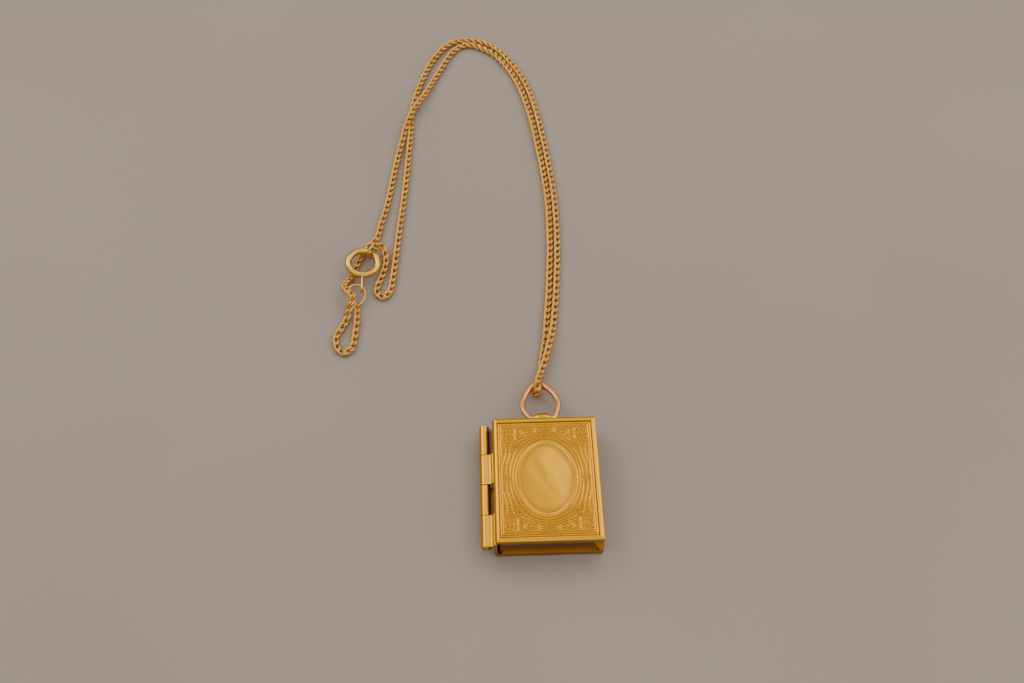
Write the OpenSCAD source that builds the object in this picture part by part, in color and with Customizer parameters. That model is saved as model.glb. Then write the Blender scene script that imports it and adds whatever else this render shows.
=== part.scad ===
// A book locket on a fine curb chain, lying on a table with its front cover up.
// +X points away from the spine, +Y towards the bail, +Z up from the table.
// The origin is the middle of the flat back, on the table.

/* [Covers] */
// Width of a cover, across the book
cover_w = 19; // [18:0.5:20]
// Height of a cover, along the spine
cover_h = 24.6; // [24:0.2:26]
// Height of the whole closed locket above the table
book_t = 6.2; // [6:0.1:6.6]
// Height of the line where the two covers meet
parting_z = 4.1; // [4:0.05:4.2]
// Thickness of a cover's board edge
board_t = 1.5; // [1.4:0.05:1.6]
// How far the walls between the boards stand in from the edge
wall_inset = 0.45; // [0.3:0.05:0.6]
// Width of the plain rim around the embossed plate
rim_w = 0.95; // [0.8:0.05:1.2]

/* [Embossed plate] */
// Half width of the oval's outer line
oval_rx = 6.05; // [5.6:0.05:6.4]
// Half height of the oval's outer line
oval_ry = 8.25; // [7.8:0.05:8.6]
// Half width of the smooth dome in the middle
dome_rx = 4.6; // [4.2:0.1:4.9]
// Height of the dome above the plate's ground
dome_rise = 0.26; // [0.2:0.02:0.26]
// Height of the cast scrollwork above the ground
relief = 0.24; // [0.15:0.01:0.24]

/* [Hinge] */
// Outer diameter of a knuckle
knuckle_d = 1.85; // [1.7:0.05:1.9]
// Distance from the covers' edge to the hinge line
hinge_out = 1.5; // [1.45:0.05:1.6]
// Diameter of the hinge pin
pin_d = 0.9; // [0.8:0.05:1]

/* [Bail] */
// Wire diameter of the bail ring
bail_wire = 1.05; // [0.9:0.05:1.05]
// Half length of the barrel eye that the ring turns in
eye_half = 1.7; // [1.6:0.05:1.75]

/* [Chain and clasp] */
// Outer diameter of the chain, as a round strand
strand_d = 1.3; // [1.1:0.05:1.3]
// Outer diameter of the spring ring clasp
clasp_d = 7.4; // [7:0.1:7.4]
// Diameter of the clasp's tube
clasp_tube = 1.4; // [1.3:0.05:1.4]
// Lean of the clasp where it lies across the chain
clasp_lean = 6; // [5:1:6]

/* [Hidden] */
$fn = 48;

brass = "#c89b4b";
slit = 0.2;
corner_r = 0.4;
bevel = 0.28;
spine_round = 0.35;
floor_t = 0.6;
fit = 0.04;

hinge_x = -cover_w / 2 - hinge_out;
hinge_z = book_t / 2;
knuckle_gap = 0.12;
knuckle_n = 4;
hinge_len = cover_h - 0.5;
knuckle_len = (hinge_len - (knuckle_n - 1) * knuckle_gap) / knuckle_n;
bore_d = pin_d + 2 * fit;

opening_w = cover_w - 2 * rim_w;
opening_h = cover_h - 2 * rim_w;
cavity_w = opening_w - 0.6;
cavity_h = opening_h - 0.6;
plate_z = book_t - 0.65;
plate_t = 0.35;
ground_z = plate_z + plate_t - 0.05;

eye_r = 1.15;
eye_end_r = 0.78;
eye_bore = bail_wire + 0.3;
eye_y = cover_h / 2 + 1.25;
eye_z = 3.4;

clasp_at = [-35.1, 52.6, 2.15];
clasp_turn = 60;
clasp_r = (clasp_d - clasp_tube) / 2;
tube_wall = 0.25;
bolt_d = clasp_tube - 2 * tube_wall - 0.1;
gate_from = 36;
gate_to = 74;
bolt_from = 31;
bolt_to = 104;
bolt_travel = 42;
lever_at = 83;
slot_from = lever_at - 5;
slot_to = lever_at + bolt_travel + 5;
slot_w = 0.5;
ring_wire = 0.48;

// Centre line of the bail ring, seen from above, from the eye round by the left
bail_plan = [
    [-1.7, 13.55], [-2.3, 13.8], [-2.7, 14.55], [-3.2, 15.65], [-3.7, 16.7], [-3.65, 17.9], [-3.15, 19.3],
    [-2.5, 20.6], [-1.7, 21.65], [-0.7, 22.2], [0.3, 21.9], [1.2, 21.15], [2.1, 20.05], [2.8, 18.75],
    [3.05, 17.6], [2.95, 16.4], [2.8, 15.2], [2.65, 14.45], [2.3, 13.8], [1.7, 13.55], [0, 13.55]];
bail_fall = 1.4;
bail_len = 8;

// Route of the strand that passes over the bail ring and runs on the outside of the arch
outer_route = [
    [-0.8, 20, 1.9], [-0.8, 20, 2.3], [-0.7, 20.6, 3], [-0.6, 22.1, 3.3], [-0.2, 23.6, 2.9], [0.4, 25.6, 2.4],
    [1.2, 28.1, 2.1], [2, 31.1, 1.9], [2.7, 34.1, 1.5], [3.3, 37.6, 0.9], [3.8, 41.6, 0.65],
    [4.3, 46.6, 0.65], [4.8, 52.6, 0.65], [5.2, 64.6, 0.65], [4.7, 76.6, 0.65], [3.5, 88.1, 0.65],
    [2, 98.6, 0.65], [0.9, 103.6, 0.65], [-0.8, 108.6, 0.65], [-3, 113.1, 0.65], [-5.7, 117.1, 0.65],
    [-9.3, 120, 0.65], [-13.4, 121.1, 0.65], [-17.2, 119.8, 0.65], [-20, 116.4, 0.65],
    [-22.3, 111.7, 0.65], [-24, 106.6, 0.65], [-25.2, 101.6, 0.65], [-26, 96.6, 0.65], [-26.1, 91.6, 0.65],
    [-26.3, 86.6, 0.65], [-27.1, 72.6, 0.65], [-28.3, 58.6, 0.65], [-28.8, 51.6, 0.65], [-29, 49.6, 0.65],
    [-29.2, 47.7, 0.65], [-29.7, 45.7, 0.65], [-30.9, 44.7, 0.65], [-32, 45.4, 0.65],
    [-32.2, 46.9, 0.65], [-31.8, 48.5, 0.65], [-31.2, 50.4, 0.65], [-30.8, 52.1, 0.65],
    [-30.5, 53.8, 0.65], [-30.7, 55.3, 0.8], [-31.1, 56.6, 1.2], [-31.9, 57.6, 1.7]];

// Route of the strand that passes under the bail ring, crosses over and ends below the clasp
inner_route = [
    [-0.8, 20, 1.9], [-0.8, 20, 1.5], [-0.8, 20.6, 0.8], [-0.6, 22.1, 0.65], [-0.1, 24.6, 0.65],
    [0.5, 28.1, 0.65],
    [1.1, 31.6, 0.65], [1.6, 35.1, 0.65], [2, 39.1, 0.65], [2.5, 43.6, 0.65], [3, 49.6, 0.65],
    [3.6, 61.6, 0.65], [3.4, 73.6, 0.65], [2.2, 85.6, 0.65], [0.5, 97.6, 0.65], [-0.7, 103, 0.65],
    [-2.3, 107.9, 0.65], [-4.4, 112.2, 0.65], [-7, 115.9, 0.65], [-10.1, 118.3, 0.65], [-13.3, 119.3, 0.65],
    [-15.8, 117.8, 0.65], [-17.9, 114.4, 0.7], [-19.6, 110.5, 0.9], [-21.4, 106.3, 1.3],
    [-23, 102.2, 1.75], [-24.8, 98.4, 2], [-26.2, 94.9, 2], [-27.3, 90.9, 1.7], [-28.2, 86.6, 1.1],
    [-28.9, 82.6, 0.7], [-29.6, 77.6, 0.65], [-31.3, 66.6, 0.65], [-32.2, 62.1, 0.65],
    [-32.9, 59.6, 0.65], [-33.8, 58.6, 0.65], [-34.5, 57.4, 0.65], [-35.3, 56, 0.65],
    [-36, 54.7, 0.65], [-36.5, 53.3, 0.65], [-37, 51.5, 0.65], [-37.7, 49.7, 0.65],
    [-38.5, 48.3, 1.2], [-38.7, 46.7, 2.3], [-37.9, 45.1, 3.2], [-36.9, 44, 3.45], [-36.6, 42.8, 3.4],
    [-37.2, 41.8, 3.1], [-37.6, 41, 2.5], [-37.8, 40.2, 1.4], [-38.3, 38.7, 0.65], [-39, 37, 0.65],
    [-40, 35.6, 0.65], [-39.7, 33.5, 0.65], [-38.4, 31.9, 0.65], [-37.2, 32.1, 0.65],
    [-36.4, 34, 0.65], [-36.1, 36.4, 0.65], [-35.9, 38.8, 0.65], [-35.9, 41.1, 0.65]];

// Unit vector from one point to the next along a route
function unit(v) = v / norm(v);
function last(list) = len(list) - 1;

// Direction of an open route at point i, from its neighbours
function open_run(path, i) = unit(path[min(i + 1, last(path))] - path[max(i - 1, 0)]);

// Direction of a closed route at point i
function closed_run(path, i) =
    unit(path[(i + 1) % len(path)] - path[(i + len(path) - 1) % len(path)]);

// A direction square to the run that stays as close to level as it can, for a route that turns over
function side_of(run, ref) = unit(cross(ref, run));

// One ring of points around a centre, square to the run
function hoop(centre, run, ref, r, n) =
    let (s = side_of(run, ref), t = cross(run, s))
    [for (k = [0:n - 1]) centre + r * (cos(360 * k / n) * s + sin(360 * k / n) * t)];

// Faces between ring a and ring b of n points each
function skin(a, b, n) =
    [for (k = [0:n - 1]) [a * n + k, b * n + k, b * n + (k + 1) % n, a * n + (k + 1) % n]];

// Tube along an open route; ref is a direction that the route never follows
module strand(path, d, n, ref) {
    rings = [for (i = [0:last(path)]) hoop(path[i], open_run(path, i), ref, d / 2, n)];
    points = [for (ring = rings) each ring];
    sides = [for (i = [0:last(path) - 1]) each skin(i, i + 1, n)];
    front = [for (k = [0:n - 1]) k];
    back = [for (k = [n - 1:-1:0]) last(path) * n + k];
    polyhedron(points = points, faces = concat([front], sides, [back]), convexity = 8);
}

// Closed wire ring along a closed route
module wire_loop(path, d, n, ref) {
    count = len(path);
    rings = [for (i = [0:count - 1]) hoop(path[i], closed_run(path, i), ref, d / 2, n)];
    points = [for (ring = rings) each ring];
    faces = [for (i = [0:count - 1]) each skin(i, (i + 1) % count, n)];
    polyhedron(points = points, faces = faces, convexity = 8);
}

// Flat rectangle with round corners
module round_rect(w, h, r) {
    square([w - 2 * r, h], center = true);
    square([w, h - 2 * r], center = true);
    for (sx = [-1, 1], sy = [-1, 1])
        translate([sx * (w / 2 - r), sy * (h / 2 - r)])
            circle(r);
}

module slab(w, h, r, z0, z1) {
    translate([0, 0, z0])
        linear_extrude(z1 - z0)
            round_rect(w, h, r);
}

// Takes the sharp edges off the long and short sides of a board at height z
module edge_cuts(w, h, z, c) {
    for (s = [-1, 1]) {
        translate([s * w / 2, 0, z])
            rotate([0, 45, 0])
                cube([c * sqrt(2), h + 4, c * sqrt(2)], center = true);
        translate([0, s * h / 2, z])
            rotate([45, 0, 0])
                cube([w + 4, c * sqrt(2), c * sqrt(2)], center = true);
    }
}

// Space outside the rounded spine edge, above z0 or below it when up is -1
module spine_cut(z_edge, up) {
    r = spine_round;
    x0 = -cover_w / 2;
    arc = [for (a = [0:22.5:90]) [x0 + r - r * cos(a), z_edge - up * (r - r * sin(a))]];
    translate([0, cover_h, 0])
        rotate([90, 0, 0])
            linear_extrude(2 * cover_h)
                polygon(concat([[x0 - 1, z_edge - up * r]], arc,
                               [[x0 + r, z_edge + up], [x0 - 1, z_edge + up]]));
}

// Bottom end of knuckle i along the hinge, counted from the bail end
function knuckle_y(i) = hinge_len / 2 - (i + 1) * knuckle_len - i * knuckle_gap;

module knuckle(i) {
    translate([hinge_x, knuckle_y(i), hinge_z])
        rotate([-90, 0, 0])
            cylinder(h = knuckle_len, d = knuckle_d);
}

module knuckle_bore(i) {
    translate([hinge_x, knuckle_y(i) - 1, hinge_z])
        rotate([-90, 0, 0])
            cylinder(h = knuckle_len + 2, d = bore_d);
}

// Outline of a knuckle's sheet seen along the hinge, from its curl to the cover's spine wall. The front
// cover's sheet climbs over the back cover's wall, and the back cover's sheet runs straight.
front_sheet = [
    [0.25, 0.4], [hinge_out, 1.1], [hinge_out + 0.6, 1.1], [hinge_out + 0.6, 1.5], [1.3, 1.5], [0.3, 0.9]];
back_sheet = [[0.2, -0.85], [hinge_out + 0.6, -0.85], [hinge_out + 0.6, -0.4], [0.2, -0.4]];

// Strip of sheet that joins knuckle i to its cover
module leaf(i, outline) {
    translate([hinge_x, knuckle_y(i) + knuckle_len, hinge_z])
        rotate([90, 0, 0])
            linear_extrude(knuckle_len)
                polygon(outline);
}

module front_cover() {
    color(brass)
    difference() {
        union() {
            difference() {
                union() {
                    slab(cover_w, cover_h, corner_r, book_t - board_t, book_t);
                    translate([-wall_inset / 2, 0, 0])
                        slab(cover_w - wall_inset, cover_h - 2 * wall_inset, corner_r,
                             parting_z + slit / 2, book_t - board_t + 0.1);
                }
                edge_cuts(cover_w, cover_h, book_t, bevel);
                spine_cut(book_t, 1);
            }
            for (i = [1, 3]) {
                knuckle(i);
                leaf(i, front_sheet);
            }
        }
        for (i = [1, 3])
            knuckle_bore(i);
        slab(opening_w, opening_h, corner_r, plate_z, book_t + 1);
        slab(cavity_w, cavity_h, corner_r, 0, book_t);
    }
}

module back_cover() {
    color(brass)
    difference() {
        union() {
            difference() {
                union() {
                    slab(cover_w, cover_h, corner_r, 0, board_t);
                    translate([-wall_inset / 2, 0, 0])
                        slab(cover_w - wall_inset, cover_h - 2 * wall_inset, corner_r,
                             board_t - 0.1, parting_z - slit / 2);
                }
                edge_cuts(cover_w, cover_h, 0, bevel);
                spine_cut(0, -1);
            }
            for (i = [0, 2]) {
                knuckle(i);
                leaf(i, back_sheet);
            }
            barrel_eye();
        }
        for (i = [0, 2])
            knuckle_bore(i);
        slab(cavity_w, cavity_h, corner_r, floor_t, book_t);
        translate([-eye_half - 1, eye_y, eye_z])
            rotate([0, 90, 0])
                cylinder(h = 2 * eye_half + 2, d = eye_bore);
    }
}

// Olive shaped eye on the top wall of the back cover, with its neck
module barrel_eye() {
    steps = 8;
    outline = [for (k = [0:steps]) let (u = 2 * k / steps - 1)
        [eye_end_r + (eye_r - eye_end_r) * (1 - u * u), u * eye_half]];
    translate([0, eye_y, eye_z])
        rotate([0, 90, 0])
            rotate_extrude()
                polygon(concat([[0.2, -eye_half]], outline, [[0.2, eye_half]]));
    translate([-1, cover_h / 2 - wall_inset - 0.4, eye_z - 0.9])
        cube([2, eye_y - cover_h / 2 + wall_inset - 0.3, 0.8]);
}

module hinge_pin() {
    color("#b98a45")
    translate([hinge_x, -hinge_len / 2 - 0.08, hinge_z])
        rotate([-90, 0, 0])
            cylinder(h = hinge_len + 0.16, d = pin_d);
}

// Relief of the plate. A point is given by u, 0 at the middle and 1 at the oval's outer line, and
// v, 0 at the oval and 1 at the rim, and by its angle around the oval.
plate_w = opening_w - 2 * fit;
plate_h = opening_h - 2 * fit;
sectors = 96;
dome_share = dome_rx / oval_rx;
oval_rings = [0.3, 0.55, dome_share - 0.06, dome_share, dome_share + 0.02, 0.83, 0.9, 0.93, 0.97, 1];
field_rings = [0.06, 0.12, 0.2, 0.28, 0.36, 0.44, 0.52, 0.6, 0.68, 0.76, 0.82, 0.86, 0.9, 0.94, 1];

// Nearness of t to the middle of a ridge, 1 on it and 0 from half its width away
function ridge(t, middle, half) = max(0, 1 - abs(t - middle) / half);

// Point on the oval's outer line and on the plate's edge at angle a
function oval_point(a) = [oval_rx * cos(a), oval_ry * sin(a)];
function edge_point(a) =
    let (c = cos(a), s = sin(a), k = min(plate_w / 2 / max(abs(c), 0.001), plate_h / 2 / max(abs(s), 0.001)))
    [k * c, k * s];

// Height over the ground inside the oval: the dome, the beaded band and the two lines
function oval_height(u, a) =
    u <= dome_share ? 0.06 + dome_rise * (1 - pow(u / dome_share, 2))
    : 0.12 * ridge(u, 0.86, 0.07) * (0.6 + 0.4 * cos(48 * a)) + 0.2 * ridge(u, 0.97, 0.04);

// Height over the ground between the oval and the rim: veined leaves, corner scrolls, frame line
function field_height(v, a) =
    v > 0.84 ? 0.16 * ridge(v, 0.9, 0.05)
    : let (swell = sin(180 * v / 0.84), vein = 0.5 + 0.5 * cos(24 * a + 200 * v), lobe = 0.5 + 0.5 * cos(8 * a))
      relief * swell * (0.35 + 0.4 * vein + 0.25 * lobe);

module front_plate() {
    angles = [for (k = [0:sectors - 1]) 360 * k / sectors];
    top_ring = plate_z + plate_t;
    inner = [for (u = oval_rings) each [for (a = angles)
        let (p = u * oval_point(a)) [p[0], p[1], ground_z + oval_height(u, a)]]];
    field = [for (v = field_rings) each [for (a = angles)
        let (p = (1 - v) * oval_point(a) + v * edge_point(a)) [p[0], p[1], ground_z + field_height(v, a)]]];
    under = [for (a = angles) let (p = edge_point(a)) [p[0], p[1], plate_z]];
    top = [[0, 0, ground_z + 0.06 + dome_rise]];
    bottom = [[0, 0, plate_z]];
    rings = len(oval_rings) + len(field_rings) + 1;
    points = concat(inner, field, under, top, bottom);
    sides = [for (i = [0:rings - 2]) each skin(i + 1, i, sectors)];
    top_fan = [for (k = [0:sectors - 1]) [rings * sectors, (k + 1) % sectors, k]];
    low = (rings - 1) * sectors;
    bottom_fan = [for (k = [0:sectors - 1]) [rings * sectors + 1, low + k, low + (k + 1) % sectors]];
    color(brass)
    translate([0, 0, 0.02])
        polyhedron(points = points, faces = concat(top_fan, sides, bottom_fan), convexity = 10);
}

module bail_ring() {
    path = [for (p = bail_plan) [p[0], p[1], eye_z - bail_fall * (p[1] - eye_y) / bail_len]];
    color("#c08a58")
    wire_loop(path, bail_wire, 10, [0, 0, 1]);
}

// Both strands stand upright where they turn over at the bail ring, and neither ever runs along ref
module chain_outer() {
    color("#be9048")
    strand(outer_route, strand_d, 8, [1, 0, 1]);
}

module chain_inner() {
    color("#be9048")
    strand(inner_route, strand_d, 8, [1, 0, 1]);
}

// Sets what is drawn around the origin where the clasp lies, with its lean
module at_clasp() {
    translate(clasp_at)
        rotate(a = clasp_lean, v = [cos(clasp_turn), sin(clasp_turn), 0])
            children();
}

// Part of a torus around Z, from one angle to another
module torus_part(r, d, from, to) {
    rotate([0, 0, from])
        rotate_extrude(angle = to - from)
            translate([r, 0])
                circle(d = d);
}

module clasp_ring() {
    eye_near = clasp_d / 2 - 0.15;
    eye_far = clasp_d / 2 + 3.6;
    eye_half_z = 0.6;
    color("#c8ab70")
    at_clasp() {
        difference() {
            torus_part(clasp_r, clasp_tube, gate_to, 360 + gate_from);
            torus_part(clasp_r, clasp_tube - 2 * tube_wall, bolt_from - 3, bolt_to + bolt_travel + 3);
            rotate([0, 0, slot_from])
                rotate_extrude(angle = slot_to - slot_from)
                    translate([clasp_r, -slot_w / 2])
                        square([clasp_tube, slot_w]);
        }
        wire_loop(eye_path(eye_near, eye_far, eye_half_z), ring_wire, 8, [1, 0, 0]);
    }
}

// Long upright loop below the clasp, between two distances from the clasp's middle
function eye_path(near, far, half) = concat(
    [for (a = [-90:30:90]) [0, -far + ring_wire / 2 + half - half * cos(a), half * sin(a)]],
    [for (a = [90:30:270]) [0, -near - half - half * cos(a), half * sin(a)]]);

module clasp_bolt() {
    color("#c8ab70")
    at_clasp() {
        torus_part(clasp_r, bolt_d, bolt_from, bolt_to);
        rotate([0, 0, lever_at]) {
            translate([clasp_r, -0.2, -0.18])
                cube([1.5, 0.4, 0.36]);
            translate([clasp_r + 1.6, 0, 0])
                sphere(d = 0.8);
        }
    }
}

// Oval ring that holds the end of the inner strand to the clasp's eye
module jump_ring() {
    middle = [-36.3, 45];
    half = [1.85, 2.1];
    low_z = 0.6;
    slope = 0.34;
    path = [for (k = [0:19])
        let (a = 18 * k, x = middle[0] + half[0] * cos(a), y = middle[1] + half[1] * sin(a))
        [x, y, low_z + slope * (y - middle[1] + half[1])]];
    color("#c8a463")
    wire_loop(path, ring_wire, 8, [0, 0, 1]);
}

// Round ring at the end of the outer strand, hooked around the clasp's bolt
module end_ring() {
    middle = [-33.3, 55.5, 2.25];
    radius = 1.5;
    hook_at = 58;
    lean = 90;
    out = [cos(hook_at), sin(hook_at), 0];
    dip = [-sin(hook_at) * cos(lean), cos(hook_at) * cos(lean), -sin(lean)];
    path = [for (k = [0:17]) middle + radius * (cos(20 * k) * out + sin(20 * k) * dip)];
    color("#c8a463")
    wire_loop(path, ring_wire, 8, cross(out, dip));
}

front_cover();
front_plate();
back_cover();
hinge_pin();
bail_ring();
chain_outer();
chain_inner();
clasp_ring();
clasp_bolt();
jump_ring();
end_ring();
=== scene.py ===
# %% [markdown]
# # A book locket on a fine curb chain
# The real thing is a small brass locket shaped like a book, about 19 by 25 by 6 mm. Its front cover
# holds an embossed plate with an oval dome, and it hangs by a wire ring from a doubled necklace chain
# that closes with a spring ring clasp. All sizes below are millimetres until the last step of each
# mesh, because that is how a jeweller thinks of them, and MM turns them into Blender's metres.

# %% Load the frame
import math

import bmesh
import bpy
import numpy as np
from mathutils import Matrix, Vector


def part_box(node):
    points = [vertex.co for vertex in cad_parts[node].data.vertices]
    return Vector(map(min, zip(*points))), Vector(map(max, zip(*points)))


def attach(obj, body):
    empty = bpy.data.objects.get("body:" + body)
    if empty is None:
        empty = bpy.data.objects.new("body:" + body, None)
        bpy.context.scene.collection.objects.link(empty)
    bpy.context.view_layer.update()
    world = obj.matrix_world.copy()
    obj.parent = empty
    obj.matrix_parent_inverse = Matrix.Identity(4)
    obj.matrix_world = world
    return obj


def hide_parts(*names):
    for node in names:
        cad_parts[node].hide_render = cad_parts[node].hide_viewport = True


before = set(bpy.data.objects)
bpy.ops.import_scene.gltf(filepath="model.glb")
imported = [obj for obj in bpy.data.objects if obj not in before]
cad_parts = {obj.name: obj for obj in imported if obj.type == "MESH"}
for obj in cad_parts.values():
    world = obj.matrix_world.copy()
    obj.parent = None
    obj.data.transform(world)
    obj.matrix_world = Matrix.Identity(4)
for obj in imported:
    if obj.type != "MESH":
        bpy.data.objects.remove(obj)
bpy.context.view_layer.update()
MM = 0.001
print("frame nodes:", ", ".join(sorted(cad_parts)))


# %% [markdown]
# ## Two ways to make a surface
# Almost every part of a locket is either a sheet that can be described row by row, or a section
# carried along a path. Both end as a grid of points, so one small function turns any grid into
# faces, and another puts finished grids into one mesh, welds the seams and points the faces outward.

# %% Grids into faces
def grid(points, wrap_rows=False, wrap_cols=False):
    """Every four neighbours in a grid of points (rows, columns, 3) make a quad. A wrapped direction
    also joins its last line of points to its first."""
    rows, cols = points.shape[:2]
    r, c = np.meshgrid(np.arange(rows - (not wrap_rows)), np.arange(cols - (not wrap_cols)),
                       indexing="ij")
    r_next, c_next = (r + 1) % rows, (c + 1) % cols
    quads = np.stack([r * cols + c, r * cols + c_next, r_next * cols + c_next, r_next * cols + c],
                     axis=-1)
    return points.reshape(-1, 3), quads.reshape(-1, 4)


def unit(v):
    """Each vector divided by its own length."""
    return v / np.linalg.norm(v, axis=-1, keepdims=True)


# %% Parts into one finished piece
weld_within = 0.0002


def make_piece(name, parts, node, body, finish, sharp=40):
    """Puts (points, faces) parts into one mesh in metres, welds points that coincide, turns all faces
    outward and shades smooth except over edges sharper than the angle. The piece then takes the place
    of the CAD node, which is hidden, rides on its body and wears its finish."""
    points = np.concatenate([p for p, _ in parts]) * MM
    starts = np.cumsum([0] + [len(p) for p, _ in parts[:-1]]).tolist()
    faces = []
    for start, (_, some) in zip(starts, parts):
        if isinstance(some, np.ndarray):
            faces += (some + start).tolist()
        else:
            faces += [[start + i for i in face] for face in some]
    mesh = bpy.data.meshes.new(name)
    mesh.from_pydata(points.tolist(), [], faces)
    work = bmesh.new()
    work.from_mesh(mesh)
    bmesh.ops.remove_doubles(work, verts=work.verts, dist=weld_within * MM)
    bmesh.ops.recalc_face_normals(work, faces=work.faces)
    work.to_mesh(mesh)
    work.free()
    mesh.shade_smooth()
    mesh.set_sharp_from_angle(angle=math.radians(sharp))
    mesh.materials.append(finish)
    piece = bpy.data.objects.new(name, mesh)
    bpy.context.collection.objects.link(piece)
    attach(piece, body)
    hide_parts(node)
    print(f"{name}: {len(mesh.vertices)} points, {len(mesh.polygons)} faces")
    return piece


# %% Points of a finished piece, and its crest
def points_of(piece):
    """The piece's points in millimetres, read back because welding renumbers them."""
    flat = np.empty(3 * len(piece.data.vertices))
    piece.data.vertices.foreach_get("co", flat)
    return flat.reshape(-1, 3) / MM


def set_crest(piece, values):
    """One number for each point, for the metals to read: 1 where handling polishes, 0 in hollows (patina
    on the plate, painted shade on the covers).
    """
    piece.data.attributes.new("crest", "FLOAT", "POINT").data.foreach_set("value", values)


# %% [markdown]
# ## Camera, table and light
# The photograph was taken from in front of the locket, looking down at about 55 degrees, with a
# short zoom. The camera comes first so that each piece can be checked against the picture as it is
# made. The table is plain warm grey paper, and the light is broad and soft: polished metal shows
# what surrounds it, so most of the look of the gold comes from the sky and the two soft panels.

# %% The camera
camera_place = (-9.28, -97.72, 191.12)
camera_tilt = 34.5
camera_turn = -1.81
lens_long, film_wide = 41.2, 36
lens = bpy.data.cameras.new("photo_camera")
lens.lens, lens.sensor_width, lens.clip_start, lens.clip_end = lens_long, film_wide, 0.01, 20
camera = bpy.data.objects.new("photo_camera", lens)
camera.location = [v * MM for v in camera_place]
camera.rotation_euler = (math.radians(camera_tilt), 0, math.radians(camera_turn))
bpy.context.collection.objects.link(camera)
bpy.context.scene.camera = camera
print("camera height", camera_place[2], "mm")


# %% Small helpers for shader nodes
def node_in(tree, kind, place=(0, 0), **settings):
    """A new node of this kind in the tree, with its settings and its unlinked inputs set by name."""
    new = tree.nodes.new(kind)
    new.location = place
    for key, value in settings.items():
        if hasattr(new, key):
            setattr(new, key, value)
        else:
            new.inputs[key.replace("_", " ")].default_value = value
    return new


def wire(tree, *pairs):
    """Links (node, output) to (node, input) for each pair given."""
    for (a, out), (b, into) in pairs:
        tree.links.new(a.outputs[out], b.inputs[into])


def ramp(tree, stops, place=(0, 0)):
    """A colour ramp with (position, colour) stops; a plain number makes a grey."""
    new = node_in(tree, "ShaderNodeValToRGB", place)
    while len(new.color_ramp.elements) < len(stops):
        new.color_ramp.elements.new(0.5)
    for element, (position, colour) in zip(new.color_ramp.elements, stops):
        element.position = position
        element.color = (*colour, 1) if isinstance(colour, tuple) else (colour,) * 3 + (1,)
    return new


# %% The table
def paper_material():
    """Warm grey paper: one colour with a faint mottle, fully matt."""
    material = bpy.data.materials.new("table_paper")
    material.use_nodes = True
    tree = material.node_tree
    shader = tree.nodes["Principled BSDF"]
    shader.inputs["Roughness"].default_value = 0.9
    shader.inputs["Specular IOR Level"].default_value = 0.2
    place = node_in(tree, "ShaderNodeTexCoord", (-900, 0))
    mottle = node_in(tree, "ShaderNodeTexNoise", (-700, 0), Scale=9.0, Detail=3.0)
    tint = ramp(tree, [(0.35, (0.372, 0.308, 0.256)), (0.65, (0.398, 0.331, 0.275))], (-450, 0))
    wire(tree, ((place, "Object"), (mottle, "Vector")), ((mottle, "Fac"), (tint, "Fac")),
         ((tint, "Color"), (shader, "Base Color")))
    return material


half_table = 1.6
table_mesh = bpy.data.meshes.new("table")
table_corners = [(half_table * x, half_table * y, 0) for x, y in ((-1, -1), (1, -1), (1, 1), (-1, 1))]
table_mesh.from_pydata(table_corners, [], [(0, 1, 2, 3)])
table_mesh.materials.append(paper_material())
table = bpy.data.objects.new("table", table_mesh)
bpy.context.collection.objects.link(table)
print("table", 2 * half_table, "m wide")


# %% Sky and soft panels
necklace_middle = np.array([-0.01, 0.04, 0])


def softbox(name, place, size, power, tint=(1, 0.97, 0.93)):
    """A square light panel at a place in metres, aimed at the middle of the necklace."""
    light = bpy.data.lights.new(name, "AREA")
    light.shape, light.size, light.energy, light.color = "SQUARE", size, power, tint
    panel = bpy.data.objects.new(name, light)
    aim = necklace_middle - np.array(place)
    length = np.linalg.norm(aim)
    panel.location = place
    panel.rotation_euler = (math.acos(-aim[2] / length), 0,
                            math.atan2(aim[1], aim[0]) - math.pi / 2)
    bpy.context.collection.objects.link(panel)
    return panel


window_way = unit(np.array([0.34, 0.60, 0.72]))
sky_strength = 1.5
world = bpy.data.worlds.new("soft_sky")
world.use_nodes = True
bpy.context.scene.world = world
sky = world.node_tree
direction = node_in(sky, "ShaderNodeTexCoord", (-1100, 0))
parts_of = node_in(sky, "ShaderNodeSeparateXYZ", (-900, 0))
rise = ramp(sky, [(0.0, (0.20, 0.19, 0.18)), (0.3, (0.36, 0.35, 0.335)), (0.6, (0.72, 0.71, 0.70)),
                  (0.85, (1.0, 0.99, 0.97)), (1.0, (0.9, 0.89, 0.88))], (-650, 150))
room = node_in(sky, "ShaderNodeTexNoise", (-900, -200), Scale=3.6, Detail=1.0)
blotches = ramp(sky, [(0.36, 0.7), (0.64, 1.25)], (-650, -200))
window = node_in(sky, "ShaderNodeVectorMath", (-900, -450), operation="DOT_PRODUCT")
window.inputs[1].default_value = window_way
glow = ramp(sky, [(0.0, 0.72), (0.6, 0.78), (0.865, 0.44), (0.965, 1.3)], (-650, -450))
product = node_in(sky, "ShaderNodeVectorMath", (-350, 0), operation="MULTIPLY")
lit = node_in(sky, "ShaderNodeVectorMath", (-150, 0), operation="MULTIPLY")
wire(sky, ((direction, "Generated"), (parts_of, "Vector")), ((parts_of, "Z"), (rise, "Fac")),
     ((direction, "Generated"), (room, "Vector")), ((room, "Fac"), (blotches, "Fac")),
     ((direction, "Generated"), (window, 0)), ((window, "Value"), (glow, "Fac")),
     ((rise, "Color"), (product, 0)), ((blotches, "Color"), (product, 1)),
     ((product, "Vector"), (lit, 0)), ((glow, "Color"), (lit, 1)),
     ((lit, "Vector"), (sky.nodes["Background"], "Color")))
sky.nodes["Background"].inputs["Strength"].default_value = sky_strength
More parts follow.
